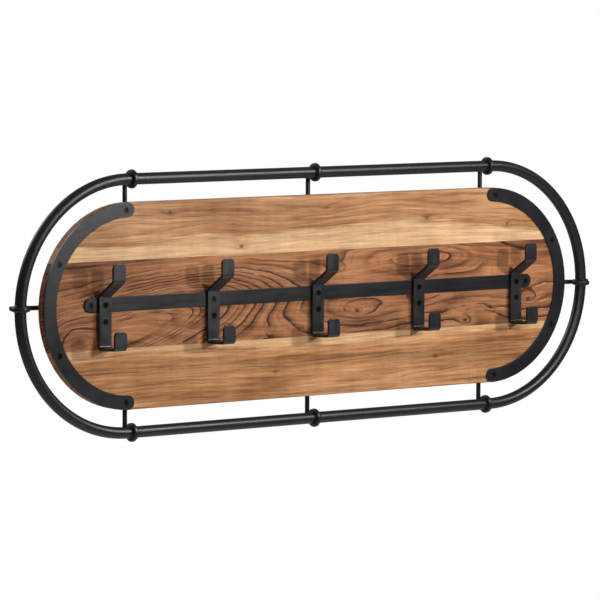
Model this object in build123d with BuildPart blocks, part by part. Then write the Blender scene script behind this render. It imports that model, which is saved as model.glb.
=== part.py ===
from build123d import *
import os
from math import asin, cos, degrees, radians, sin

# Wall hook rack: a planked board with five double hooks, held inside a ring of round tube.
# Millimetres. X runs along the rack, +Y into the wall, +Z up. The wall's surface is the plane
# Y = 0, and the origin lies on it, midway between the two keyholes that hang the rack.
# "Distance" always means the distance from the wall's surface, towards the room.

# ---------------------------------------------------------------- driving dimensions
# Ring of tube
ring_length = 1000.0
ring_height = 362.0
tube_diameter = 16.0
tube_wall = 1.2
collar_diameter = 26.0
collar_width = 6.5
collar_rounding = 2.2
collar_pitch = 312.0
end_spoke_rise = 4.0  # the left end spoke sits this far above the centre line, the right one below

# Board
board_length = 915.0
board_height = 283.0
board_thickness = 12.5
upper_joint_height = 63.0  # glue lines, measured from the centre line
lower_joint_height = -57.0
board_edge_chamfer = 1.0

# Flat steel
flat_width = 20.0
plate_thickness = 2.5
plate_half_angle = 88.0
plate_screw_angles = (-86.5, -28.0, 28.0, 86.5)
plate_edge_rounding = 0.4
rail_length = 784.0
rail_thickness = 3.0
rail_rise = 4.0
rail_screw_inset = 10.0
rail_edge_rounding = 0.8

# Hooks, with heights measured from the upper screw
hook_count = 5
hook_pitch = 180.5
hook_thickness = 4.0
hook_bend_radius = 4.5
hook_screw_pitch = 23.0
upper_prong_top = 57.5
upper_prong_bend = 33.5
upper_prong_reach = 34.0
slope_foot = 12.4
hook_bottom = -60.0
lower_prong_rise = 2.0
lower_prong_top = -34.0
lower_prong_reach = 37.6
prong_corner_radius = 6.0
hook_edge_rounding = 0.5

# Spokes: round rod, welded to the back of a collar and to a flat iron behind the board.
# The irons under the end spokes are short lugs, the others are straps across all three planks.
rod_diameter = 6.5
rod_wall_gap = 0.5
rod_overrun = 6.0  # past the tube's centre line
rod_reach = 61.5  # inward from the tube's centre line
rod_end_chamfer = 0.6
iron_thickness = 3.0
iron_corner_radius = 3.0
iron_start = 43.0  # from the tube's centre line to the outer end of an iron
lug_length = 60.0
lug_screw_distances = (75.0, 93.0)  # from the tube's centre line
strap_screw_heights = (-95.0, -30.0, 30.0, 95.0)

# Wall hangers
hanger_rise = 100.0  # keyholes above the ring's centre line
hanger_spacing = 312.0
hanger_length = 76.0
hanger_web_length = 32.0
hanger_slope_length = 5.0
hanger_height = 30.0
hanger_thickness = 2.5
hanger_bend_radius = 2.5
hanger_corner_radius = 4.0
hanger_screw_inset = 8.0
hanger_below_keyhole = 11.0
keyhole_entry_radius = 5.0
keyhole_slot_radius = 2.5
keyhole_travel = 10.0

# Countersunk wood screws with a cross recess
screw_head_radius = 4.2
screw_rim = 0.2
shank_radius = 2.0
shank_clearance_radius = 2.2
screw_point_length = 3.0
screw_point_radius = 0.3
short_screw_length = 12.0
long_screw_length = 16.0
recess_length = 4.6
recess_width = 1.2
recess_depth = 1.5
recess_taper = 14.0

# ---------------------------------------------------------------- derived places
iron_distance = rod_diameter + rod_wall_gap
board_back = iron_distance + iron_thickness
board_front = board_back + board_thickness
plate_front = board_front + plate_thickness
rail_front = board_front + rail_thickness
hook_front = rail_front + hook_thickness
tube_distance = iron_distance + collar_diameter / 2

centre_z = -hanger_rise
tube_radius = tube_diameter / 2
ring_radius = (ring_height - tube_diameter) / 2
ring_straight = ring_length - ring_height
board_radius = board_height / 2
board_straight = board_length - board_height
plate_radius = board_radius - flat_width / 2
countersink_radius = screw_head_radius + screw_rim
hook_xs = [(index - (hook_count - 1) / 2) * hook_pitch for index in range(hook_count)]
keyhole_xs = {"left": -hanger_spacing / 2, "right": hanger_spacing / 2}

os.makedirs("parts", exist_ok=True)


# ---------------------------------------------------------------- helpers
def room_plane(distance):
    """A plane facing the room: local x is X, local y is the height above the centre line."""
    return Plane(origin=(0, -distance, centre_z), x_dir=(1, 0, 0), z_dir=(0, -1, 0))


def wall_plane(distance):
    """A plane facing the wall: local x is -X, local y is the height above the centre line."""
    return Plane(origin=(0, -distance, centre_z), x_dir=(-1, 0, 0), z_dir=(0, 1, 0))


def polar(centre_x, radius, angle):
    """A point at an angle from +X, on a circle round a point on the centre line."""
    return (centre_x + radius * cos(radians(angle)), radius * sin(radians(angle)))


def save(name, part):
    """Labels a finished piece and writes its STEP file."""
    part.label = name
    export_step(part, f"parts/{name}.step")


def make_screw(length):
    """A countersunk wood screw: the head's face at local z = 0, the point down."""
    with BuildPart() as screw:
        with BuildSketch(Plane.XZ):
            with BuildLine():
                Polyline(
                    (0, 0),
                    (screw_head_radius, 0),
                    (screw_head_radius, -screw_rim),
                    (shank_radius, -screw_rim - screw_head_radius + shank_radius),
                    (shank_radius, screw_point_length - length),
                    (screw_point_radius, -length),
                    (0, -length),
                    close=True,
                )
            make_face()
        revolve(axis=Axis.Z)
        with BuildSketch(Plane.XY):
            Rectangle(recess_length, recess_width)
            Rectangle(recess_width, recess_length)
        extrude(amount=-recess_depth, taper=recess_taper, mode=Mode.SUBTRACT)
    return screw.part


def save_screws(name, length, plane, points):
    """Writes one node of identical screws, their heads' faces in the plane."""
    screw = make_screw(length)
    with BuildPart() as screws:
        with Locations(plane):
            with Locations(*points):
                add(screw)
    save(name, screws.part)


# ---------------------------------------------------------------- stations of the spokes
def make_stations():
    """Name to (point on the tube's centre line, outward direction in degrees)."""
    stations = {}
    for side, angle in (("top", 90), ("bottom", -90)):
        for place, x in (("left", -collar_pitch), ("center", 0), ("right", collar_pitch)):
            stations[f"{side}_{place}"] = ((x, ring_radius * sin(radians(angle))), angle)
    lean = degrees(asin(end_spoke_rise / ring_radius))
    stations["left"] = (polar(-ring_straight / 2, ring_radius, 180 - lean), 180 - lean)
    stations["right"] = (polar(ring_straight / 2, ring_radius, -lean), -lean)
    return stations


def outward(angle):
    """Unit vector in the plane of the rack."""
    return Vector(cos(radians(angle)), 0, sin(radians(angle)))


def station_plane(point, angle, distance):
    """Origin on a station, local x outward from the ring, local z towards the room."""
    return Plane(
        origin=(point[0], -distance, centre_z + point[1]),
        x_dir=outward(angle),
        z_dir=(0, -1, 0),
    )


stations = make_stations()

# ---------------------------------------------------------------- screw places
plate_sides = {"left": (-board_straight / 2, 180), "right": (board_straight / 2, 0)}
plate_screw_points = [
    polar(centre_x, plate_radius, facing + angle)
    for centre_x, facing in plate_sides.values()
    for angle in plate_screw_angles
]
rail_screw_x = rail_length / 2 - rail_screw_inset
rail_screw_points = [(-rail_screw_x, rail_rise), (rail_screw_x, rail_rise)]
hook_upper_points = [(x, rail_rise) for x in hook_xs]
hook_lower_points = [(x, rail_rise - hook_screw_pitch) for x in hook_xs]
hook_screw_points = hook_upper_points + hook_lower_points
lug_screw_points = [
    (point[0] - distance * cos(radians(angle)), point[1] - distance * sin(radians(angle)))
    for point, angle in (stations["left"], stations["right"])
    for distance in lug_screw_distances
]
strap_xs = {"left": -collar_pitch, "center": 0.0, "right": collar_pitch}
strap_screw_points = [(x, height) for x in strap_xs.values() for height in strap_screw_heights]
iron_screw_points = strap_screw_points + lug_screw_points
hanger_mid_height = hanger_rise - hanger_below_keyhole + hanger_height / 2
hanger_screw_offset = hanger_length / 2 - hanger_screw_inset
hanger_screw_points = [
    (x + side * hanger_screw_offset, hanger_mid_height) for x in keyhole_xs.values() for side in (-1, 1)
]

# Depth that each set of screws reaches into the board
plate_screw_bite = short_screw_length - plate_thickness
rail_screw_bite = short_screw_length - rail_thickness
hook_screw_bite = long_screw_length - hook_thickness - rail_thickness
iron_screw_bite = short_screw_length - iron_thickness
hanger_screw_bite = short_screw_length - hanger_thickness


def mirrored(points):
    """The same places seen from the wall, for use on a plane that faces the wall."""
    return [(-x, z) for x, z in points]


# ---------------------------------------------------------------- board of three planks
front_pilots = [
    (plate_screw_points, plate_screw_bite),
    (rail_screw_points, rail_screw_bite),
    (hook_screw_points, hook_screw_bite),
]
back_pilots = [
    (iron_screw_points, iron_screw_bite),
    (hanger_screw_points, hanger_screw_bite),
]
planks = {
    "plank_top": (upper_joint_height, board_radius),
    "plank_middle": (lower_joint_height, upper_joint_height),
    "plank_bottom": (-board_radius, lower_joint_height),
}

for name, (low, high) in planks.items():
    with BuildPart() as plank:
        with BuildSketch(room_plane(board_back)):
            SlotCenterToCenter(board_straight, board_height)
            with Locations((0, (low + high) / 2)):
                Rectangle(board_length, high - low, mode=Mode.INTERSECT)
        extrude(amount=board_thickness)
        glue_faces = plank.faces().filter_by(
            lambda face: abs(face.center().Z - centre_z) < board_radius - board_edge_chamfer
            and abs(face.normal_at().Z) > 0.99
        )
        rims = plank.faces().filter_by(Axis.Y).edges() - glue_faces.edges()
        chamfer(rims, board_edge_chamfer)
        for points, bite in front_pilots:
            with Locations(room_plane(board_front)):
                with Locations(*points):
                    Hole(shank_radius, bite)
        for points, bite in back_pilots:
            with Locations(wall_plane(board_back)):
                with Locations(*mirrored(points)):
                    Hole(shank_radius, bite)
    save(name, plank.part)

# ---------------------------------------------------------------- C-shaped end plates
for side, (centre_x, facing) in plate_sides.items():
    bow = CenterArc((centre_x, 0), plate_radius, facing - plate_half_angle, 2 * plate_half_angle)
    with BuildPart() as plate:
        with BuildSketch(room_plane(board_front)):
            SlotArc(bow, flat_width)
        extrude(amount=plate_thickness)
        front_rim = plate.faces().filter_by(Axis.Y).sort_by(Axis.Y)[0].edges()
        fillet(front_rim, plate_edge_rounding)
        with Locations(room_plane(plate_front)):
            with Locations(*[point for point in plate_screw_points if point[0] * centre_x > 0]):
                CounterSinkHole(shank_clearance_radius, countersink_radius, plate_thickness, 90)
    save(f"end_plate_{side}", plate.part)

# ---------------------------------------------------------------- rail behind the hooks
with BuildPart() as rail:
    with BuildSketch(room_plane(board_front)):
        with Locations((0, rail_rise)):
            SlotOverall(rail_length, flat_width)
    extrude(amount=rail_thickness)
    front_rim = rail.faces().filter_by(Axis.Y).sort_by(Axis.Y)[0].edges()
    fillet(front_rim, rail_edge_rounding)
    with Locations(room_plane(rail_front)):
        with Locations(*rail_screw_points):
            CounterSinkHole(shank_clearance_radius, countersink_radius, rail_thickness, 90)
        with Locations(*hook_upper_points):
            Hole(shank_clearance_radius, rail_thickness)
save("hook_rail", rail.part)


# ---------------------------------------------------------------- double hooks of bent flat strap
def make_hook(x):
    """A strap bent forward into a short lower prong and a long sloping upper prong."""
    screw_height = centre_z + rail_rise
    strap_y = -hook_front + hook_thickness / 2
    upper_y = strap_y - upper_prong_reach
    lower_y = strap_y - lower_prong_reach
    with BuildPart() as hook:
        with BuildLine(Plane.YZ.offset(x)) as bend:
            FilletPolyline(
                (upper_y, screw_height + upper_prong_top),
                (upper_y, screw_height + upper_prong_bend),
                (strap_y, screw_height + slope_foot),
                (strap_y, screw_height + hook_bottom),
                (lower_y, screw_height + hook_bottom + lower_prong_rise),
                (lower_y, screw_height + lower_prong_top),
                radius=hook_bend_radius,
            )
        with BuildSketch(Plane(origin=bend.wire() @ 0, x_dir=(1, 0, 0), z_dir=bend.wire() % 0)):
            Rectangle(flat_width, hook_thickness)
        sweep()
        fillet(hook.edges().filter_by(Axis.Y), prong_corner_radius)
        prong_ends = hook.faces().filter_by(Axis.Z).edges().filter_by(Axis.X)
        outline = hook.edges().filter_by(Axis.X, reverse=True).filter_by(Axis.Y, reverse=True)
        fillet(outline + prong_ends, hook_edge_rounding)
        with Locations(room_plane(hook_front)):
            with Locations((x, rail_rise), (x, rail_rise - hook_screw_pitch)):
                CounterSinkHole(shank_clearance_radius, countersink_radius, hook_thickness, 90)
    return hook.part


for number, x in enumerate(hook_xs, start=1):
    save(f"hook_{number}", make_hook(x))

# ---------------------------------------------------------------- ring of tube
for side, height in (("top", ring_radius), ("bottom", -ring_radius)):
    with BuildPart() as tube:
        with BuildSketch(Plane.YZ.offset(-collar_pitch)):
            with Locations((-tube_distance, centre_z + height)):
                Circle(tube_radius)
                Circle(tube_radius - tube_wall, mode=Mode.SUBTRACT)
        extrude(amount=2 * collar_pitch)
    save(f"tube_{side}", tube.part)

for side, sign in (("left", -1), ("right", 1)):
    joint_x = sign * collar_pitch
    tangent_x = sign * ring_straight / 2
    with BuildPart() as bend:
        with BuildLine(room_plane(tube_distance)) as route:
            Line((joint_x, ring_radius), (tangent_x, ring_radius))
            CenterArc((tangent_x, 0), ring_radius, 90, -sign * 180)
            Line((tangent_x, -ring_radius), (joint_x, -ring_radius))
        with BuildSketch(Plane.YZ.offset(joint_x)):
            with Locations((-tube_distance, centre_z + ring_radius)):
                Circle(tube_radius)
                Circle(tube_radius - tube_wall, mode=Mode.SUBTRACT)
        sweep()
    save(f"bend_{side}", bend.part)

# ---------------------------------------------------------------- collars and spokes
collar_thickness = collar_diameter / 2 - tube_radius
collar_mid_radius = tube_radius + collar_thickness / 2
rod_distance = rod_wall_gap + rod_diameter / 2

for name, (point, angle) in stations.items():
    ring_frame = station_plane(point, angle, tube_distance)
    with BuildPart() as collar:
        with BuildSketch(ring_frame):
            with Locations((collar_mid_radius, 0)):
                RectangleRounded(collar_thickness, collar_width, collar_rounding)
        revolve(axis=Axis(ring_frame.origin, ring_frame.y_dir))
    save(f"collar_{name}", collar.part)

    rod_frame = station_plane(point, angle, rod_distance)
    rod_start = rod_frame.from_local_coords(Vector(rod_overrun, 0, 0))
    with BuildPart() as spoke:
        with BuildSketch(Plane(origin=rod_start, z_dir=-outward(angle))):
            Circle(rod_diameter / 2)
        extrude(amount=rod_overrun + rod_reach)
        chamfer(spoke.edges().filter_by(GeomType.CIRCLE), rod_end_chamfer)
    save(f"spoke_{name}", spoke.part)

# ---------------------------------------------------------------- flat irons behind the board
strap_length = 2 * (ring_radius - iron_start)

for side, x in strap_xs.items():
    with BuildPart() as strap:
        with BuildSketch(wall_plane(board_back)):
            with Locations((-x, 0)):
                RectangleRounded(flat_width, strap_length, iron_corner_radius)
        extrude(amount=iron_thickness)
        with Locations(wall_plane(iron_distance)):
            with Locations(*[(-x, height) for height in strap_screw_heights]):
                CounterSinkHole(shank_clearance_radius, countersink_radius, iron_thickness, 90)
    save(f"back_strap_{side}", strap.part)

for side in ("left", "right"):
    point, angle = stations[side]
    # Local x runs inward from the tube's centre line, local z towards the wall.
    lug_back = Plane(
        origin=station_plane(point, angle, board_back).origin,
        x_dir=-outward(angle),
        z_dir=(0, 1, 0),
    )
    with BuildPart() as lug:
        with BuildSketch(lug_back):
            with Locations((iron_start + lug_length / 2, 0)):
                RectangleRounded(lug_length, flat_width, iron_corner_radius)
        extrude(amount=iron_thickness)
        with Locations(lug_back.offset(iron_thickness)):
            with Locations(*[(distance, 0) for distance in lug_screw_distances]):
                CounterSinkHole(shank_clearance_radius, countersink_radius, iron_thickness, 90)
    save(f"back_lug_{side}", lug.part)

# ---------------------------------------------------------------- wall hangers
foot_distance = board_back - hanger_thickness / 2
web_distance = hanger_thickness / 2
web_end = hanger_web_length / 2
foot_start = web_end + hanger_slope_length
foot_end = hanger_length / 2

for side, x in keyhole_xs.items():
    with BuildPart() as hanger:
        with BuildLine(Plane.XY.offset(centre_z + hanger_mid_height)) as crank:
            FilletPolyline(
                (x - foot_end, -foot_distance),
                (x - foot_start, -foot_distance),
                (x - web_end, -web_distance),
                (x + web_end, -web_distance),
                (x + foot_start, -foot_distance),
                (x + foot_end, -foot_distance),
                radius=hanger_bend_radius,
            )
        with BuildSketch(Plane(origin=crank.wire() @ 0, x_dir=(0, 0, 1), z_dir=crank.wire() % 0)):
            Rectangle(hanger_height, hanger_thickness)
        sweep()
        fillet(hanger.edges().filter_by(Axis.Y), hanger_corner_radius)
        with BuildSketch(wall_plane(0)):
            with Locations((-x, hanger_rise)):
                Circle(keyhole_entry_radius)
            with Locations((-x, hanger_rise + keyhole_travel / 2)):
                SlotCenterToCenter(keyhole_travel, 2 * keyhole_slot_radius, rotation=90)
        extrude(amount=-hanger_thickness, mode=Mode.SUBTRACT)
        with Locations(wall_plane(board_back - hanger_thickness)):
            with Locations(*mirrored([point for point in hanger_screw_points if point[0] * x > 0])):
                CounterSinkHole(shank_clearance_radius, countersink_radius, hanger_thickness, 90)
    save(f"hanger_{side}", hanger.part)

# ---------------------------------------------------------------- screws
save_screws("plate_screws", short_screw_length, room_plane(plate_front), plate_screw_points)
save_screws("rail_screws", short_screw_length, room_plane(rail_front), rail_screw_points)
save_screws("hook_screws", long_screw_length, room_plane(hook_front), hook_screw_points)
save_screws("iron_screws", short_screw_length, wall_plane(iron_distance), mirrored(iron_screw_points))
hanger_foot_plane = wall_plane(board_back - hanger_thickness)
save_screws("hanger_screws", short_screw_length, hanger_foot_plane, mirrored(hanger_screw_points))
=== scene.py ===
from math import cos, pi, radians, sin

import bmesh
import bpy
from mathutils import Matrix, Vector


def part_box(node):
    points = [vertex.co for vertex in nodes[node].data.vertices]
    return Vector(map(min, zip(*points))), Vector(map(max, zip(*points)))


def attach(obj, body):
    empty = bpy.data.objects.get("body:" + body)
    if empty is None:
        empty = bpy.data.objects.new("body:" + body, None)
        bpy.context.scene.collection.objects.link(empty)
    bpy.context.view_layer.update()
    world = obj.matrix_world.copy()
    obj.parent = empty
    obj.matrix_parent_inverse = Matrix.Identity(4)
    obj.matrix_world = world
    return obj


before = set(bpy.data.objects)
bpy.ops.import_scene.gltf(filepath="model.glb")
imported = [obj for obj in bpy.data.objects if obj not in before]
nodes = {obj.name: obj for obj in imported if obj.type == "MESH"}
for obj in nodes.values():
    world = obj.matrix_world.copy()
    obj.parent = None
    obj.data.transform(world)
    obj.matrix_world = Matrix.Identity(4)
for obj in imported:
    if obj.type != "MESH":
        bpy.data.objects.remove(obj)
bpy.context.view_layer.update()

# Wall hook rack, in metres. X runs along the rack, +Y into the wall, +Z up, and the wall is Y = 0.
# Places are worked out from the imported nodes. "Height" means above the ring's centre line.
MM = 0.001

STATIONS = [f"{side}_{place}" for side in ("top", "bottom") for place in ("left", "center", "right")]
STATIONS += ["left", "right"]


def middle(node):
    """Centre of a node's box."""
    low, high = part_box(node)
    return (low + high) / 2


ring_low, ring_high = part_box("bend_left")
CENTRE_Z = (ring_low.z + ring_high.z) / 2
TUBE_Y = (ring_low.y + ring_high.y) / 2
TUBE_RADIUS = (ring_high.y - ring_low.y) / 2


# ---------------------------------------------------------------- shader helpers
class Shader:
    """Builds one node material, keeping the node graph readable."""

    def __init__(self, name):
        self.material = bpy.data.materials.new(name)
        self.material.use_nodes = True
        self.tree = self.material.node_tree
        self.tree.nodes.clear()
        output = self.tree.nodes.new("ShaderNodeOutputMaterial")
        self.surface = self.tree.nodes.new("ShaderNodeBsdfPrincipled")
        self.tree.links.new(self.surface.outputs["BSDF"], output.inputs["Surface"])
        self.place = self.tree.nodes.new("ShaderNodeTexCoord").outputs["Object"]

    def put(self, value, socket):
        """Links an output, or sets a plain value."""
        if isinstance(value, bpy.types.NodeSocket):
            self.tree.links.new(value, socket)
        else:
            socket.default_value = value

    def set(self, name, value):
        """Sets or links a socket of the surface shader."""
        self.put(value, self.surface.inputs[name])

    def math(self, operation, first, second=0.0, third=0.0, clamp=False):
        """One step of arithmetic on numbers or sockets."""
        node = self.tree.nodes.new("ShaderNodeMath")
        node.operation = operation
        node.use_clamp = clamp
        for value, socket in zip((first, second, third), node.inputs):
            self.put(value, socket)
        return node.outputs[0]

    def vector(self, operation, first, second):
        """One step of arithmetic on vectors."""
        node = self.tree.nodes.new("ShaderNodeVectorMath")
        node.operation = operation
        self.put(first, node.inputs[0])
        self.put(second, node.inputs[1])
        return node.outputs["Vector"]

    def noise(self, at, detail=2.0, roughness=0.5):
        """Smooth noise, 0 to 1. A place multiplied by a frequency gives that many cycles per metre."""
        node = self.tree.nodes.new("ShaderNodeTexNoise")
        self.put(at, node.inputs["Vector"])
        node.inputs["Scale"].default_value = 1.0
        node.inputs["Detail"].default_value = detail
        node.inputs["Roughness"].default_value = roughness
        return node.outputs["Fac"]

    def noise_along(self, value, detail=2.0, roughness=0.5):
        """Smooth noise along one number."""
        node = self.tree.nodes.new("ShaderNodeTexNoise")
        node.noise_dimensions = "1D"
        self.put(value, node.inputs["W"])
        node.inputs["Scale"].default_value = 1.0
        node.inputs["Detail"].default_value = detail
        node.inputs["Roughness"].default_value = roughness
        return node.outputs["Fac"]

    def cells(self, at):
        """Distance to the nearest scattered point, for pits and pores."""
        node = self.tree.nodes.new("ShaderNodeTexVoronoi")
        self.put(at, node.inputs["Vector"])
        node.inputs["Scale"].default_value = 1.0
        return node.outputs["Distance"]

    def steps(self, factor, *stops):
        """A ramp of values or colours, as (position, value)."""
        node = self.tree.nodes.new("ShaderNodeValToRGB")
        self.put(factor, node.inputs["Fac"])
        ramp = node.color_ramp
        while len(ramp.elements) < len(stops):
            ramp.elements.new(0.5)
        for element, (position, value) in zip(ramp.elements, stops):
            element.position = position
            shade = value if hasattr(value, "__len__") else (value,) * 3
            element.color = (*shade, 1.0)
        return node.outputs["Color"]

    def between(self, value, low, high):
        """0 below low, 1 above high, and smooth between them."""
        node = self.tree.nodes.new("ShaderNodeMapRange")
        node.interpolation_type = "SMOOTHSTEP"
        for number, socket in zip((value, low, high, 0.0, 1.0), node.inputs):
            self.put(number, socket)
        return node.outputs["Result"]

    def mix(self, factor, first, second, blend="MIX"):
        """Blends two colours."""
        node = self.tree.nodes.new("ShaderNodeMix")
        node.data_type = "RGBA"
        node.blend_type = blend
        colours = [(*c, 1.0) if isinstance(c, tuple) else c for c in (first, second)]
        self.put(factor, node.inputs["Factor"])
        self.put(colours[0], node.inputs["A"])
        self.put(colours[1], node.inputs["B"])
        return node.outputs["Result"]

    def bump(self, *layers):
        """Bumps on the surface, as (height, depth in metres)."""
        normal = None
        for height, depth in layers:
            node = self.tree.nodes.new("ShaderNodeBump")
            node.inputs["Strength"].default_value = 1.0
            node.inputs["Distance"].default_value = depth
            self.put(height, node.inputs["Height"])
            if normal is not None:
                self.tree.links.new(normal, node.inputs["Normal"])
            normal = node.outputs["Normal"]
        self.tree.links.new(normal, self.surface.inputs["Normal"])


def paint(shader, *names):
    """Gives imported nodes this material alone."""
    for name in names:
        nodes[name].data.materials.clear()
        nodes[name].data.materials.append(shader.material)


# ---------------------------------------------------------------- acacia planks
# Fibres follow this share of the swirls' push, and growth lines all of it.
FIBRE_SHARE = 0.30
# Growth rings also slant through the board's thickness, by this rise per metre.
RING_SLANT = 0.35
WOOD_ROUGHNESS = 0.46
WOOD_SHINE = 0.10
FIBRE_DEPTH = 0.04 * MM
LINE_RELIEF = -0.03 * MM
END_GRAIN_TINT = (0.98, 0.74, 0.55)


def acacia(
    name, lean, swirls, knots, shades, calm, palette, wander_depth, line_spacing, line_depth, sapwood, seed
):
    """Oiled acacia. Its growth field rises with height (lean mm per mm) and is pushed by swirls and knots.

    swirls, shades, calm: (x, height, half length, half height, rise per length, amount), in mm.
    A swirl's amount is a push in mm, a shade's is a share of brightness, and calm thins the lines.
    knots: (x, height, size). palette: light, mid, dark, line and sapwood colours.
    sapwood: (height of its edge, softness in mm, +1 if it lies below the edge and -1 above), in the field.
    """
    s = Shader(name)
    light, mid, dark, line, pale = palette
    place = s.vector("ADD", s.place, (0.0, 0.0, -CENTRE_Z))
    shifted = s.vector("ADD", place, (seed, seed, seed))
    split = s.tree.nodes.new("ShaderNodeSeparateXYZ")
    s.put(place, split.inputs[0])
    along, through, height = split.outputs

    wander = s.noise(s.vector("MULTIPLY", shifted, (4.5, 12.0, 15.0)), 2.0, 0.45)
    ripple = s.noise(s.vector("MULTIPLY", shifted, (24.0, 40.0, 70.0)), 3.0, 0.5)
    ripple_up = s.math("MULTIPLY", s.math("SUBTRACT", ripple, 0.5), 5 * MM)
    field = s.math("MULTIPLY_ADD", through, RING_SLANT, ripple_up)
    field = s.math("MULTIPLY_ADD", height, lean, field)
    field = s.math("MULTIPLY_ADD", s.math("SUBTRACT", wander, 0.5), wander_depth * MM, field)

    def hill(x, level, half_length, half_height, rise=0.0):
        """A soft hill, 1 at its top, that runs right through the board."""
        across = s.math("SUBTRACT", along, x * MM)
        up = s.math("SUBTRACT", s.math("ADD", height, ripple_up), level * MM)
        up = s.math("MULTIPLY_ADD", across, -rise, up)
        across = s.math("DIVIDE", across, half_length * MM)
        up = s.math("DIVIDE", up, half_height * MM)
        square = s.math("MULTIPLY_ADD", across, across, s.math("MULTIPLY", up, up))
        return s.math("EXPONENT", s.math("MULTIPLY", square, -1.0))

    for *shape, push in swirls:
        field = s.math("MULTIPLY_ADD", hill(*shape), push * MM, field)
    knot_core, knot_halo = 0.0, 0.0
    for x, level, size in knots:
        field = s.math("MULTIPLY_ADD", hill(x, level, 3.6 * size, 1.6 * size), 1.9 * size * MM, field)
        knot_core = s.math("MAXIMUM", knot_core, hill(x, level, 1.0 * size, 0.7 * size))
        knot_halo = s.math("MAXIMUM", knot_halo, hill(x, level, 2.6 * size, 1.3 * size))
    # Fibres run along the board and only lean towards the growth rings.
    push_up = s.math("MULTIPLY_ADD", height, -lean, field)
    fibre_height = s.math("MULTIPLY_ADD", push_up, FIBRE_SHARE, height)
    join = s.tree.nodes.new("ShaderNodeCombineXYZ")
    for value, socket in zip((along, through, fibre_height), join.inputs):
        s.put(value, socket)
    grain = s.vector("ADD", join.outputs[0], (seed, seed, seed))

    # Broad bands follow the field and streaks the fibres, with patches across them.
    bands = s.noise_along(s.math("MULTIPLY_ADD", field, 75.0, seed), 4.0, 0.6)
    streaks = s.noise(s.vector("MULTIPLY", grain, (11.0, 60.0, 230.0)), 3.0, 0.62)
    patches = s.noise(s.vector("MULTIPLY", shifted, (6.0, 16.0, 20.0)), 4.0, 0.55)
    tone = s.math("MULTIPLY_ADD", patches, 0.40, s.math("MULTIPLY", bands, 0.26))
    tone = s.math("MULTIPLY_ADD", streaks, 0.34, tone)
    colour = s.steps(tone, (0.37, dark), (0.50, mid), (0.62, light))

    # Latewood lines stand at uneven spacing along the field: sharp on one side, fading on the other.
    # Each growth ring has its own strength.
    warp = s.noise_along(s.math("MULTIPLY", field, 0.30 / (line_spacing * MM)), 2.0, 0.5)
    count = s.math("MULTIPLY_ADD", warp, 2.4, s.math("DIVIDE", field, line_spacing * MM))
    ring = s.noise_along(s.math("MULTIPLY_ADD", s.math("FLOOR", count), 3.17, seed), 0.0)
    main_count = s.math("FRACT", count)
    profile = s.steps(main_count, (0.0, 0.0), (0.08, 1.0), (0.22, 0.60), (0.50, 0.10), (1.0, 0.0))
    fine_count = s.math("FRACT", s.math("MULTIPLY", count, 2.63))
    hair = s.steps(fine_count, (0.0, 0.0), (0.2, 0.34), (0.6, 0.05), (1.0, 0.0))
    profile = s.math("MAXIMUM", profile, hair)
    fade = s.noise(s.vector("MULTIPLY", shifted, (14.0, 12.0, 40.0)), 4.0, 0.62)
    strength = s.math("MULTIPLY", s.between(ring, 0.28, 0.56), s.between(fade, 0.34, 0.54))
    for *shape, amount in calm:
        thinned = s.math("MULTIPLY_ADD", hill(*shape), -amount, 1.0)
        strength = s.math("MULTIPLY", strength, thinned, clamp=True)
    lines = s.math("MULTIPLY", s.math("MULTIPLY", profile, strength), line_depth, clamp=True)

    level, softness, side = sapwood
    inside = s.math("MULTIPLY", s.math("SUBTRACT", level * MM, field), float(side))
    inside = s.math("MULTIPLY_ADD", s.math("SUBTRACT", streaks, 0.5), 26 * MM, inside)
    pale_mask = s.between(inside, -softness * MM, softness * MM)
    streaked = tuple(0.45 * a + 0.55 * b for a, b in zip(pale, light))
    pale_wood = s.mix(s.between(streaks, 0.58, 0.36), pale, streaked)
    colour = s.mix(s.math("MULTIPLY", pale_mask, 0.95), colour, pale_wood)
    colour = s.mix(s.math("MULTIPLY", lines, s.math("MULTIPLY_ADD", pale_mask, -0.75, 1.0)), colour, line)

    # Fibres, pores and the faint cross figure of a planed surface; the figure's light and dark bands are
    # painted sheen, the chatoyance of the fibres, not the wood's own colour.
    fibre = s.noise(s.vector("MULTIPLY", grain, (16.0, 260.0, 430.0)), 4.0, 0.65)
    figure_sheen = s.noise(s.vector("MULTIPLY", shifted, (50.0, 20.0, 8.0)), 3.0, 0.6)
    pores = s.cells(s.vector("MULTIPLY", grain, (110.0, 600.0, 700.0)))
    pore_mask = s.math("SUBTRACT", 1.0, s.between(pores, 0.10, 0.28))
    value = s.math("MULTIPLY_ADD", s.math("SUBTRACT", fibre, 0.5), 1.10, 1.0)
    value = s.math("MULTIPLY_ADD", s.math("SUBTRACT", streaks, 0.5), 0.55, value)
    # Painted sheen: the cross figure's chatoyance bands lighten and darken the colour across the grain.
    value = s.math("MULTIPLY_ADD", s.math("SUBTRACT", figure_sheen, 0.5), 0.42, value)
    value = s.math("MULTIPLY_ADD", pore_mask, -0.20, value)
    value = s.math("MULTIPLY_ADD", knot_halo, -0.30, value)
    for *shape, amount in shades:
        value = s.math("MULTIPLY_ADD", hill(*shape), amount, value)
    # The value, up to 2, becomes a grey that multiplies the colour.
    grey = s.steps(s.math("MULTIPLY", value, 0.5), (0.0, 0.0), (1.0, 2.0))
    colour = s.mix(1.0, colour, grey, "MULTIPLY")
    colour = s.mix(s.math("MULTIPLY", s.between(knot_core, 0.15, 0.95), 0.85), colour, line)

    # End grain drinks more oil, so the board's round ends are darker and redder.
    normal = s.tree.nodes.new("ShaderNodeSeparateXYZ")
    geometry = s.tree.nodes.new("ShaderNodeNewGeometry")
    s.put(geometry.outputs["True Normal"], normal.inputs[0])
    facing_end = s.between(s.math("ABSOLUTE", normal.outputs["X"]), 0.15, 0.85)
    colour = s.mix(facing_end, colour, s.mix(1.0, colour, END_GRAIN_TINT, "MULTIPLY"))

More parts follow.
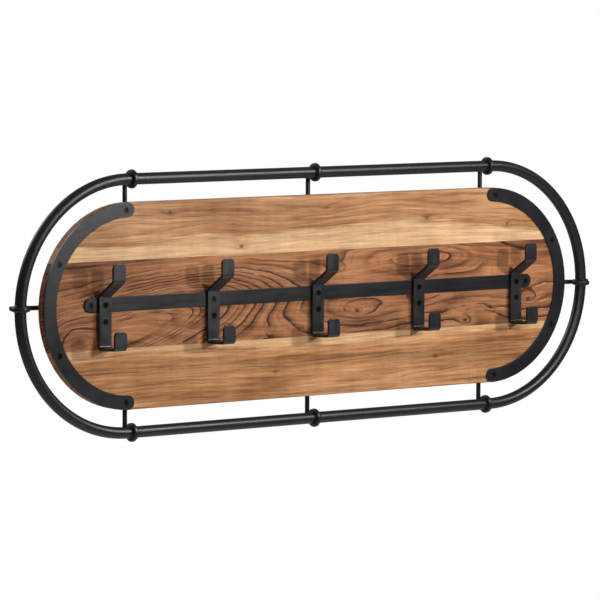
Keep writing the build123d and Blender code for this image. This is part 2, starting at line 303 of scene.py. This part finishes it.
    s.set("Base Color", colour)
    rough = s.math("MULTIPLY_ADD", fibre, 0.14, WOOD_ROUGHNESS)
    s.set("Roughness", s.math("MULTIPLY_ADD", pore_mask, 0.15, rough))
    s.set("Specular IOR Level", WOOD_SHINE)
    unbroken = s.math("SUBTRACT", 1.0, pore_mask)
    s.bump((fibre, FIBRE_DEPTH), (unbroken, FIBRE_DEPTH), (lines, LINE_RELIEF))
    return s


# Light, mid, dark, line and sapwood colours.
TOP_PALETTE = (
    (0.515, 0.290, 0.150),
    (0.405, 0.207, 0.097),
    (0.27, 0.119, 0.050),
    (0.13, 0.050, 0.022),
    (0.585, 0.375, 0.202),
)
MIDDLE_PALETTE = (
    (0.395, 0.182, 0.084),
    (0.290, 0.122, 0.053),
    (0.122, 0.046, 0.021),
    (0.026, 0.011, 0.009),
    (0.45, 0.22, 0.10),
)
BOTTOM_PALETTE = (
    (0.50, 0.264, 0.121),
    (0.385, 0.184, 0.078),
    (0.21, 0.085, 0.034),
    (0.10, 0.038, 0.017),
    (0.50, 0.305, 0.160),
)

plank_top = acacia(
    "acacia_top",
    lean=1.0,
    swirls=[
        (140, 80, 150, 60, 0.0, -12),
        (430, 80, 110, 50, 0.0, 18),
        (-40, 118, 130, 16, 0.08, 14),
        (-330, 112, 80, 22, 0.0, -12),
        (250, 118, 90, 18, -0.05, 10),
        (-170, 105, 60, 12, 0.05, -9),
        (-340, 96, 120, 24, 0.0, 17),
    ],
    knots=[(-250, 125, 4.0), (-129, 75, 4.0), (18, 124, 2.5), (199, 102, 4.0), (348, 88, 3.0)],
    shades=[
        (-160, 125, 120, 14, 0.0, -0.12),
        (-40, 96, 90, 9, 0.0, -0.10),
        (300, 115, 120, 20, 0.0, 0.06),
        (120, 84, 200, 5, 0.0, -0.08),
    ],
    calm=[(120, 80, 120, 12, 0.0, 0.6)],
    palette=TOP_PALETTE,
    wander_depth=9,
    line_spacing=7.0,
    line_depth=0.62,
    sapwood=(83, 6.0, 1),
    seed=3.7,
)
plank_middle = acacia(
    "acacia_middle",
    lean=0.4,
    swirls=[
        (-300, -25, 215, 50, 0.20, -92),
        (-405, -37, 26, 20, 0.0, -24),
        (55, 76, 80, 26, -0.2, -15),
        (205, 47, 115, 24, 0.02, -32),
        (80, -22, 58, 18, 0.0, 15),
        (195, -8, 50, 20, 0.3, 10),
        (300, -38, 34, 12, 0.0, -9),
        (388, -20, 24, 12, 0.0, 9),
        (412, 44, 22, 8, 0.0, -9),
    ],
    knots=[(74, -25, 4.0), (318, -32, 3.5), (271, -48, 4.0), (389, -23, 4.5), (38, 36, 4.0)],
    shades=[
        (-400, 30, 60, 40, 0.0, -0.10),
        (-300, -30, 50, 15, 0.0, 0.12),
        (90, -44, 58, 13, 0.0, -0.46),
        (240, -24, 36, 10, 0.5, -0.38),
        (285, -40, 44, 12, 0.0, -0.24),
        (95, 35, 70, 26, 0.0, 0.16),
        (335, 25, 70, 34, 0.0, 0.20),
        (240, 50, 60, 20, 0.0, 0.22),
        (-110, -30, 60, 24, 0.0, 0.18),
        (175, 46, 18, 10, -0.4, -0.22),
        (20, 45, 16, 10, 0.0, -0.30),
    ],
    calm=[
        (-300, -30, 52, 14, 0.10, 0.9),
        (-370, 66, 110, 10, 0.0, 1.0),
        (-60, 64, 60, 7, 0.0, 0.9),
        (95, 30, 70, 24, 0.0, 0.75),
        (350, 25, 60, 20, 0.0, 0.6),
    ],
    palette=MIDDLE_PALETTE,
    wander_depth=15,
    line_spacing=6.6,
    line_depth=1.3,
    sapwood=(-400, 3.0, 1),
    seed=11.3,
)
plank_bottom = acacia(
    "acacia_bottom",
    lean=1.0,
    swirls=[
        (-20, -85, 200, 24, 0.0, 9),
        (-220, -110, 90, 20, 0.0, -10),
        (260, -100, 140, 26, 0.0, -8),
        (100, -125, 120, 16, 0.0, 8),
    ],
    knots=[(-70, -104, 2.5), (216, -98, 2.5)],
    shades=[
        (-80, -89, 240, 4, 0.0, -0.20),
        (230, -95, 130, 5, -0.02, -0.20),
        (240, -100, 130, 40, 0.0, -0.10),
        (-60, -112, 200, 10, 0.0, 0.08),
    ],
    calm=[(-60, -112, 200, 10, 0.0, 0.4)],
    palette=BOTTOM_PALETTE,
    wander_depth=14,
    line_spacing=7.5,
    line_depth=0.75,
    sapwood=(-74, 6.0, -1),
    seed=6.1,
)
paint(plank_top, "plank_top")
paint(plank_middle, "plank_middle")
paint(plank_bottom, "plank_bottom")


# ---------------------------------------------------------------- metals
PEEL_DEPTH = 0.006 * MM
# Where the coat is rubbed it is this much lighter.
RUBBED_GAIN = 1.8


def powder_coat(name, colour, roughness, shine=0.5, uneven=1.0, drag=(60.0, 60.0, 60.0), relief=0.05):
    """Black satin powder coat over hand-worked steel: orange peel, soft hammering and rubbed patches.

    uneven: how strongly the roughness varies. drag: the frequency of the hammering. relief: its depth in mm.
    """
    s = Shader(name)
    peel = s.noise(s.vector("MULTIPLY", s.place, (900.0, 900.0, 900.0)), 2.0, 0.5)
    worked = s.noise(s.vector("MULTIPLY", s.place, drag), 3.0, 0.55)
    patches = s.noise(s.vector("MULTIPLY", s.place, (11.0, 11.0, 11.0)), 3.0, 0.6)
    specks = s.cells(s.vector("MULTIPLY", s.place, (420.0, 420.0, 420.0)))
    rubbed = tuple(RUBBED_GAIN * c for c in colour)
    s.set("Base Color", s.mix(s.between(patches, 0.40, 0.80), colour, rubbed))
    rough = s.math("MULTIPLY_ADD", s.math("SUBTRACT", patches, 0.5), 0.28 * uneven, roughness)
    rough = s.math("MULTIPLY_ADD", s.math("SUBTRACT", worked, 0.5), 0.42 * uneven, rough)
    s.set("Roughness", rough)
    s.set("Specular IOR Level", shine)
    s.bump((worked, relief * MM), (peel, PEEL_DEPTH), (s.between(specks, 0.05, 0.22), PEEL_DEPTH))
    return s


def zinc(name, colour, roughness):
    """Bright zinc plate with fine brushing and faint clouding."""
    s = Shader(name)
    s.set("Metallic", 1.0)
    cloud = s.noise(s.vector("MULTIPLY", s.place, (60.0, 60.0, 60.0)), 4.0, 0.6)
    brushed = s.noise(s.vector("MULTIPLY", s.place, (90.0, 1400.0, 2600.0)), 3.0, 0.5)
    s.set("Base Color", s.mix(cloud, colour, tuple(0.72 * c for c in colour)))
    s.set("Roughness", s.math("MULTIPLY_ADD", cloud, 0.22, roughness))
    s.bump((brushed, 0.02 * MM))
    return s


STEEL_BLACK = (0.0050, 0.0053, 0.0068)
TUBE_BLACK = (0.0036, 0.0032, 0.0033)
SCREW_BLACK = (0.0035, 0.0035, 0.0040)
ZINC_GREY = (0.62, 0.63, 0.64)
ZINC_YELLOW = (0.58, 0.57, 0.52)
flat_coat = powder_coat("powder_coat_flat", STEEL_BLACK, 0.36, 0.46, uneven=0.5, drag=(40.0, 40.0, 40.0))
rail_coat = powder_coat("powder_coat_rail", STEEL_BLACK, 0.42, 0.36, drag=(14.0, 120.0, 170.0), relief=0.12)
hook_coat = powder_coat("powder_coat_hook", STEEL_BLACK, 0.40, 0.50, drag=(110.0, 90.0, 40.0), relief=0.10)
tube_coat = powder_coat("powder_coat_tube", TUBE_BLACK, 0.40, 0.42, uneven=0.3, relief=0.004)
rod_coat = powder_coat("powder_coat_rod", TUBE_BLACK, 0.40, 0.40, uneven=0.4, relief=0.03)
weld_coat = powder_coat("powder_coat_weld", TUBE_BLACK, 0.36, 0.4, drag=(300.0, 300.0, 300.0), relief=0.05)
screw_coat = powder_coat("black_screw", SCREW_BLACK, 0.22, 0.42, relief=0.01)
zinc_sheet = zinc("zinc_plate", ZINC_GREY, 0.22)
zinc_head = zinc("zinc_screw", ZINC_YELLOW, 0.18)

paint(flat_coat, "end_plate_left", "end_plate_right")
paint(rail_coat, "hook_rail")
paint(hook_coat, *[f"hook_{number}" for number in range(1, 6)])
paint(tube_coat, "tube_top", "tube_bottom", "bend_left", "bend_right")
paint(tube_coat, *[f"collar_{name}" for name in STATIONS])
paint(rod_coat, *[f"spoke_{name}" for name in STATIONS])
paint(flat_coat, "back_strap_left", "back_strap_center", "back_strap_right")
paint(flat_coat, "back_lug_left", "back_lug_right")
paint(screw_coat, "plate_screws", "rail_screws", "hook_screws")
paint(zinc_sheet, "hanger_left", "hanger_right")
paint(zinc_head, "iron_screws", "hanger_screws")


# ---------------------------------------------------------------- weld beads
BEAD_SIDES = 10


def bead_rings(work, points, radius, seed):
    """Adds one closed weld bead along the points, swelling and shrinking in small ripples."""
    rings = []
    last = len(points) - 1
    for index, point in enumerate(points):
        along = (points[min(index + 1, last)] - points[max(index - 1, 0)]).normalized()
        aside = along.orthogonal().normalized()
        upward = along.cross(aside)
        taper = min(1.0, (index + 0.6) / 2.5, (last - index + 0.6) / 2.5)
        swell = radius * taper * (1.0 + 0.14 * sin(1.9 * index + seed) + 0.07 * sin(0.7 * index + 2 * seed))
        ring = []
        for side in range(BEAD_SIDES):
            angle = 2 * pi * side / BEAD_SIDES
            ring.append(work.verts.new(point + aside * cos(angle) * swell + upward * sin(angle) * swell))
        rings.append(ring)
    for first, second in zip(rings, rings[1:]):
        for side in range(BEAD_SIDES):
            following = (side + 1) % BEAD_SIDES
            work.faces.new((first[side], first[following], second[following], second[side]))
    work.faces.new(rings[0][::-1])
    work.faces.new(rings[-1])


def weld_piece(name, beads):
    """One mesh of several beads, given as (points, radius, seed)."""
    work = bmesh.new()
    for points, radius, seed in beads:
        bead_rings(work, points, radius, seed)
    bmesh.ops.recalc_face_normals(work, faces=work.faces)
    mesh = bpy.data.meshes.new(name)
    work.to_mesh(mesh)
    work.free()
    mesh.shade_smooth()
    mesh.materials.append(weld_coat.material)
    piece = bpy.data.objects.new(name, mesh)
    bpy.context.scene.collection.objects.link(piece)
    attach(piece, "root")


def line_points(start, end, count):
    """Evenly spaced points on a straight line."""
    return [start.lerp(end, index / (count - 1)) for index in range(count)]


def arc_points(middle_point, first_axis, second_axis, radius, start, end, count):
    """Points on an arc, with angles in degrees from the first axis towards the second."""
    angles = [radians(start + (end - start) * index / (count - 1)) for index in range(count)]
    return [middle_point + (first_axis * cos(a) + second_axis * sin(a)) * radius for a in angles]


WALLWARD = Vector((0.0, 1.0, 0.0))
RING_HALF_HEIGHT = (ring_high.z - ring_low.z) / 2
TUBE_LINE_HEIGHT = RING_HALF_HEIGHT - TUBE_RADIUS
collar_low, collar_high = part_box("collar_top_center")
COLLAR_HALF_WIDTH = (collar_high.x - collar_low.x) / 2
rod_low, rod_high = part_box("spoke_top_center")
ROD_RADIUS = (rod_high.x - rod_low.x) / 2
ROD_Y = (rod_low.y + rod_high.y) / 2
# How far the rod and the iron's edge lie inside the tube's centre line.
ROD_REACH = TUBE_LINE_HEIGHT - (rod_low.z - CENTRE_Z)
strap_low, strap_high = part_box("back_strap_center")
IRON_START = TUBE_LINE_HEIGHT - (strap_high.z - strap_low.z) / 2
BEAD = 1.1 * MM
FILLET_RADIUS = TUBE_RADIUS + 0.5 * MM
LUMP_RADIUS = TUBE_RADIUS + 1.2 * MM
# A bead beside a rod lies this share of the rod's radius out to its side and forward from the wall.
FLANK_SIDEWAYS = 0.86
FLANK_FORWARD = 0.72
# Each fillet starts a little further round than the last, in degrees.
START_STEP = 9

for number, name in enumerate(STATIONS):
    station = middle(f"collar_{name}")
    station.y = TUBE_Y
    if name in ("left", "right"):
        bend_low, bend_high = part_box(f"bend_{name}")
        arc_x = bend_low.x + RING_HALF_HEIGHT if name == "left" else bend_high.x - RING_HALF_HEIGHT
        outward = (station - Vector((arc_x, TUBE_Y, CENTRE_Z))).normalized()
    else:
        outward = Vector((0.0, 0.0, 1.0 if station.z > CENTRE_Z else -1.0))
    tangent = outward.cross(WALLWARD)
    beads = []
    # Fillets where the collar meets the tube, on both sides, and a lump where each was closed.
    for side in (-1, 1):
        ring_middle = station + tangent * side * (COLLAR_HALF_WIDTH + 0.2 * MM)
        turn = START_STEP * number
        around = arc_points(ring_middle, outward, WALLWARD, FILLET_RADIUS, turn - 178, turn + 178, 72)
        beads.append((around, 0.85 * BEAD, 1.3 * number + side))
    lump_at = station + tangent * (COLLAR_HALF_WIDTH + 0.6 * MM) * (1 if number % 2 else -1)
    lump = arc_points(lump_at, outward, WALLWARD, LUMP_RADIUS, -55, -5, 10)
    beads.append((lump, 1.6 * BEAD, 0.9 * number))
    # The rod lies in the back of the collar, and on the iron behind the board.
    for side in (-1, 1):
        rod_line = Vector((station.x, ROD_Y, station.z)) + tangent * side * ROD_RADIUS * FLANK_SIDEWAYS
        rod_line.y -= ROD_RADIUS * FLANK_FORWARD
        at_collar = line_points(rod_line + outward * 3 * MM, rod_line - outward * 4 * MM, 9)
        beads.append((at_collar, BEAD, number + side))
        start = rod_line - outward * (IRON_START + 0.8 * MM)
        end = rod_line - outward * (ROD_REACH - 0.5 * MM)
        at_iron = line_points(start, end, 22)
        beads.append((at_iron, 1.15 * BEAD, 2.1 * number + side))
    weld_piece(f"weld_{name}", beads)


# ---------------------------------------------------------------- studio
FLOOR_GLOW = 0.14
FLOOR_GLOW_SEEN = 0.22
# Where the room's light starts to rise and is full, with 0 straight down and 1 straight up.
ROOM_RISES = 0.45
ROOM_FULL = 0.85


def soft_light(name, place, size, power, glossy=True, diffuse=True):
    """An area light that faces the middle of the rack."""
    data = bpy.data.lights.new(name, "AREA")
    data.shape = "RECTANGLE"
    data.size, data.size_y = size
    data.energy = power
    light = bpy.data.objects.new(name, data)
    light.location = place
    light.rotation_mode = "QUATERNION"
    light.rotation_quaternion = (Vector((0.0, 0.0, CENTRE_Z)) - Vector(place)).to_track_quat("-Z", "Y")
    light.visible_camera = False
    light.visible_glossy = glossy
    light.visible_diffuse = diffuse
    bpy.context.scene.collection.objects.link(light)


def make_floor(height, radius):
    """A large pale disc under the rack, well below it, as the rack hangs on a wall.

    It glows a little more to the eye than onto the rack, so that it looks pale and the metal stays black.
    """
    mesh = bpy.data.meshes.new("floor")
    work = bmesh.new()
    bmesh.ops.create_circle(work, cap_ends=True, segments=96, radius=radius)
    work.to_mesh(mesh)
    work.free()
    floor = bpy.data.objects.new("floor", mesh)
    floor.location = (0.0, 0.0, height)
    bpy.context.scene.collection.objects.link(floor)
    s = Shader("floor_pale")
    grain = s.noise(s.vector("MULTIPLY", s.place, (3.0, 3.0, 3.0)), 3.0, 0.5)
    s.set("Base Color", s.mix(grain, (0.80, 0.80, 0.80), (0.84, 0.84, 0.84)))
    s.set("Roughness", 0.9)
    s.set("Emission Color", (1.0, 1.0, 1.0, 1.0))
    seen = s.tree.nodes.new("ShaderNodeLightPath").outputs["Is Camera Ray"]
    s.set("Emission Strength", s.math("MULTIPLY_ADD", seen, FLOOR_GLOW_SEEN, FLOOR_GLOW))
    mesh.materials.append(s.material)


def make_world(seen, above, below):
    """White where the camera looks past the rack, and a soft room, slightly warm above, for the light."""
    world = bpy.data.worlds.new("studio")
    world.use_nodes = True
    tree = world.node_tree
    tree.nodes.clear()
    output = tree.nodes.new("ShaderNodeOutputWorld")
    background = tree.nodes.new("ShaderNodeBackground")
    place = tree.nodes.new("ShaderNodeTexCoord")
    split = tree.nodes.new("ShaderNodeSeparateXYZ")
    ramp = tree.nodes.new("ShaderNodeValToRGB")
    lift = tree.nodes.new("ShaderNodeMapRange")
    path = tree.nodes.new("ShaderNodeLightPath")
    mix = tree.nodes.new("ShaderNodeMix")
    mix.data_type = "RGBA"
    tree.links.new(place.outputs["Generated"], split.inputs[0])
    tree.links.new(split.outputs["Z"], lift.inputs["Value"])
    lift.inputs["From Min"].default_value = -1.0
    tree.links.new(lift.outputs["Result"], ramp.inputs["Fac"])
    ramp.color_ramp.elements[0].position = ROOM_RISES
    ramp.color_ramp.elements[0].color = (below, below, below, 1.0)
    ramp.color_ramp.elements[1].position = ROOM_FULL
    ramp.color_ramp.elements[1].color = (above, 0.96 * above, 0.90 * above, 1.0)
    tree.links.new(path.outputs["Is Camera Ray"], mix.inputs["Factor"])
    tree.links.new(ramp.outputs["Color"], mix.inputs["A"])
    mix.inputs["B"].default_value = (seen, seen, seen, 1.0)
    tree.links.new(mix.outputs["Result"], background.inputs["Color"])
    tree.links.new(background.outputs["Background"], output.inputs["Surface"])
    bpy.context.scene.world = world


def make_camera():
    """Looks at the ring's middle from its left and a little above, through a long lens."""
    yaw, pitch, roll = radians(36.916), radians(4.776), radians(0.190)
    aside, raised, away = 20.367 * MM, -6.659 * MM, 5863.26 * MM
    forward = Vector((sin(yaw) * cos(pitch), cos(yaw) * cos(pitch), -sin(pitch)))
    level_right = Vector((cos(yaw), -sin(yaw), 0.0))
    level_up = level_right.cross(forward)
    right = level_right * cos(roll) + level_up * sin(roll)
    up = -level_right * sin(roll) + level_up * cos(roll)
    data = bpy.data.cameras.new("camera")
    data.sensor_width = 36.0
    data.lens = 250.42
    data.clip_end = 60.0
    camera = bpy.data.objects.new("camera", data)
    target = Vector((0.0, -20 * MM, CENTRE_Z))
    spot = target - right * aside + up * raised - forward * away
    turn = Matrix((right, up, -forward)).transposed()
    camera.matrix_world = Matrix.Translation(spot) @ turn.to_4x4()
    bpy.context.scene.collection.objects.link(camera)
    bpy.context.scene.camera = camera


make_camera()
make_world(seen=1.0, above=0.31, below=0.05)
make_floor(height=-1.7, radius=6.0)
soft_light("key", (1.30, -1.85, 0.42), (0.16, 0.16), 36.0, glossy=False)
soft_light("front", (0.10, -2.20, 0.50), (0.26, 0.26), 24.5, glossy=False)
soft_light("streak", (1.10, -1.90, 0.95), (0.90, 0.22), 44.0, diffuse=False)
soft_light("left_sheen", (0.05, -0.80, 0.16), (0.25, 0.30), 3.2, diffuse=False)
soft_light("behind", (-0.90, 2.00, 1.20), (1.60, 1.20), 25.0)
bpy.context.scene.view_settings.view_transform = "Standard"
